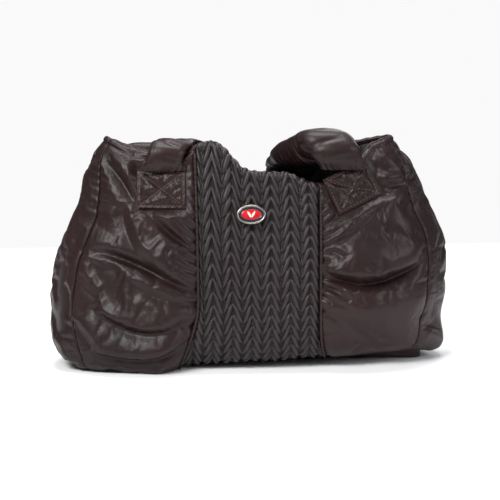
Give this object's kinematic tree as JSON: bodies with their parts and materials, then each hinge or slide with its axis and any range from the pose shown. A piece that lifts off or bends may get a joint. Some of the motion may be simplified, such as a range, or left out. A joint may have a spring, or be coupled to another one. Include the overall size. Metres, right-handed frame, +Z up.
{
  "type": "hand warmer muff",
  "caption": "Padded, open-topped hand muff with glossy gathered side puffs, a leaf-quilted centre band and soft handles that swing up from behind.",
  "frame": {"origin": "middle of the flat base, on the ground", "axes": "+X to the right as seen from the front, +Y towards the back, +Z up"},
  "size_m": [0.4, 0.1582, 0.2355],
  "materials": {
    "nylon": "glossy dark burgundy-brown nylon",
    "quilted": "satin charcoal-brown quilted nylon",
    "wadding": "white polyester wadding",
    "lining": "dark grey mottled woven lining",
    "trim": "dark brown binding and piping",
    "thread": "reddish-brown sewing thread",
    "silver": "polished nickel plate",
    "dark_enamel": "near-black enamel",
    "red_enamel": "bright red enamel",
    "cream_enamel": "cream enamel",
    "magnet": "dark coated magnet"
  },
  "bodies": {
    "bag": {"quilted_band": "quilted", "band_wadding": "wadding", "front_left_panel": "nylon", "front_right_panel": "nylon", "back_left_panel": "nylon", "back_right_panel": "nylon", "front_left_wadding": "wadding", "front_right_wadding": "wadding", "back_left_wadding": "wadding", "back_right_wadding": "wadding", "left_gusset": "nylon", "right_gusset": "nylon", "left_gusset_wadding": "wadding", "right_gusset_wadding": "wadding", "left_base_panel": "nylon", "right_base_panel": "nylon", "base_wadding": "wadding", "lining_front": "lining", "lining_back": "lining", "lining_floor": "lining", "front_facing": "nylon", "back_facing": "nylon", "front_hem": "trim", "back_hem": "trim", "left_mouth_elastic": "trim", "right_mouth_elastic": "trim", "left_band_piping": "trim", "right_band_piping": "trim", "front_left_tab": "nylon", "front_right_tab": "nylon", "front_left_rise": "nylon", "front_right_rise": "nylon", "back_left_tab": "nylon", "back_right_tab": "nylon", "back_left_rise": "nylon", "back_right_rise": "nylon", "front_tab_stitching": "thread", "back_tab_stitching": "thread", "badge_frame": "silver", "badge_dark_enamel": "dark_enamel", "badge_red_enamel": "red_enamel", "badge_emblem": "cream_enamel", "badge_prongs": "silver", "badge_washer": "silver", "snap_socket": "silver", "snap_magnet": "magnet", "snap_stud": "silver", "snap_washers": "silver"},
    "front_bridge": {"front_left_bridge": "nylon", "front_right_bridge": "nylon"},
    "front_loop": {"front_loop_top": "nylon", "front_loop_underside": "nylon", "front_loop_core": "wadding"},
    "back_handle": {"back_loop_top": "nylon", "back_loop_underside": "nylon", "back_loop_core": "wadding"}
  },
  "joints": [
    {"name": "front_bridge_lift", "type": "hinge", "parent": "bag", "child": "front_bridge", "pos_m": [0, -0.02, 0.2295], "axis": [1, 0, 0], "range_deg": [0, 120]},
    {"name": "front_loop_unfold", "type": "hinge", "parent": "front_bridge", "child": "front_loop", "pos_m": [0, 0.047, 0.191], "axis": [1, 0, 0], "range_deg": [0, 45]},
    {"name": "back_handle_lift", "type": "hinge", "parent": "bag", "child": "back_handle", "pos_m": [0, 0.046, 0.216], "axis": [1, 0, 0], "range_deg": [0, 165]}
  ],
  "couplings": [
    {"joint": "front_loop_unfold", "follows": "front_bridge_lift", "ratio": 0.375}
  ]
}
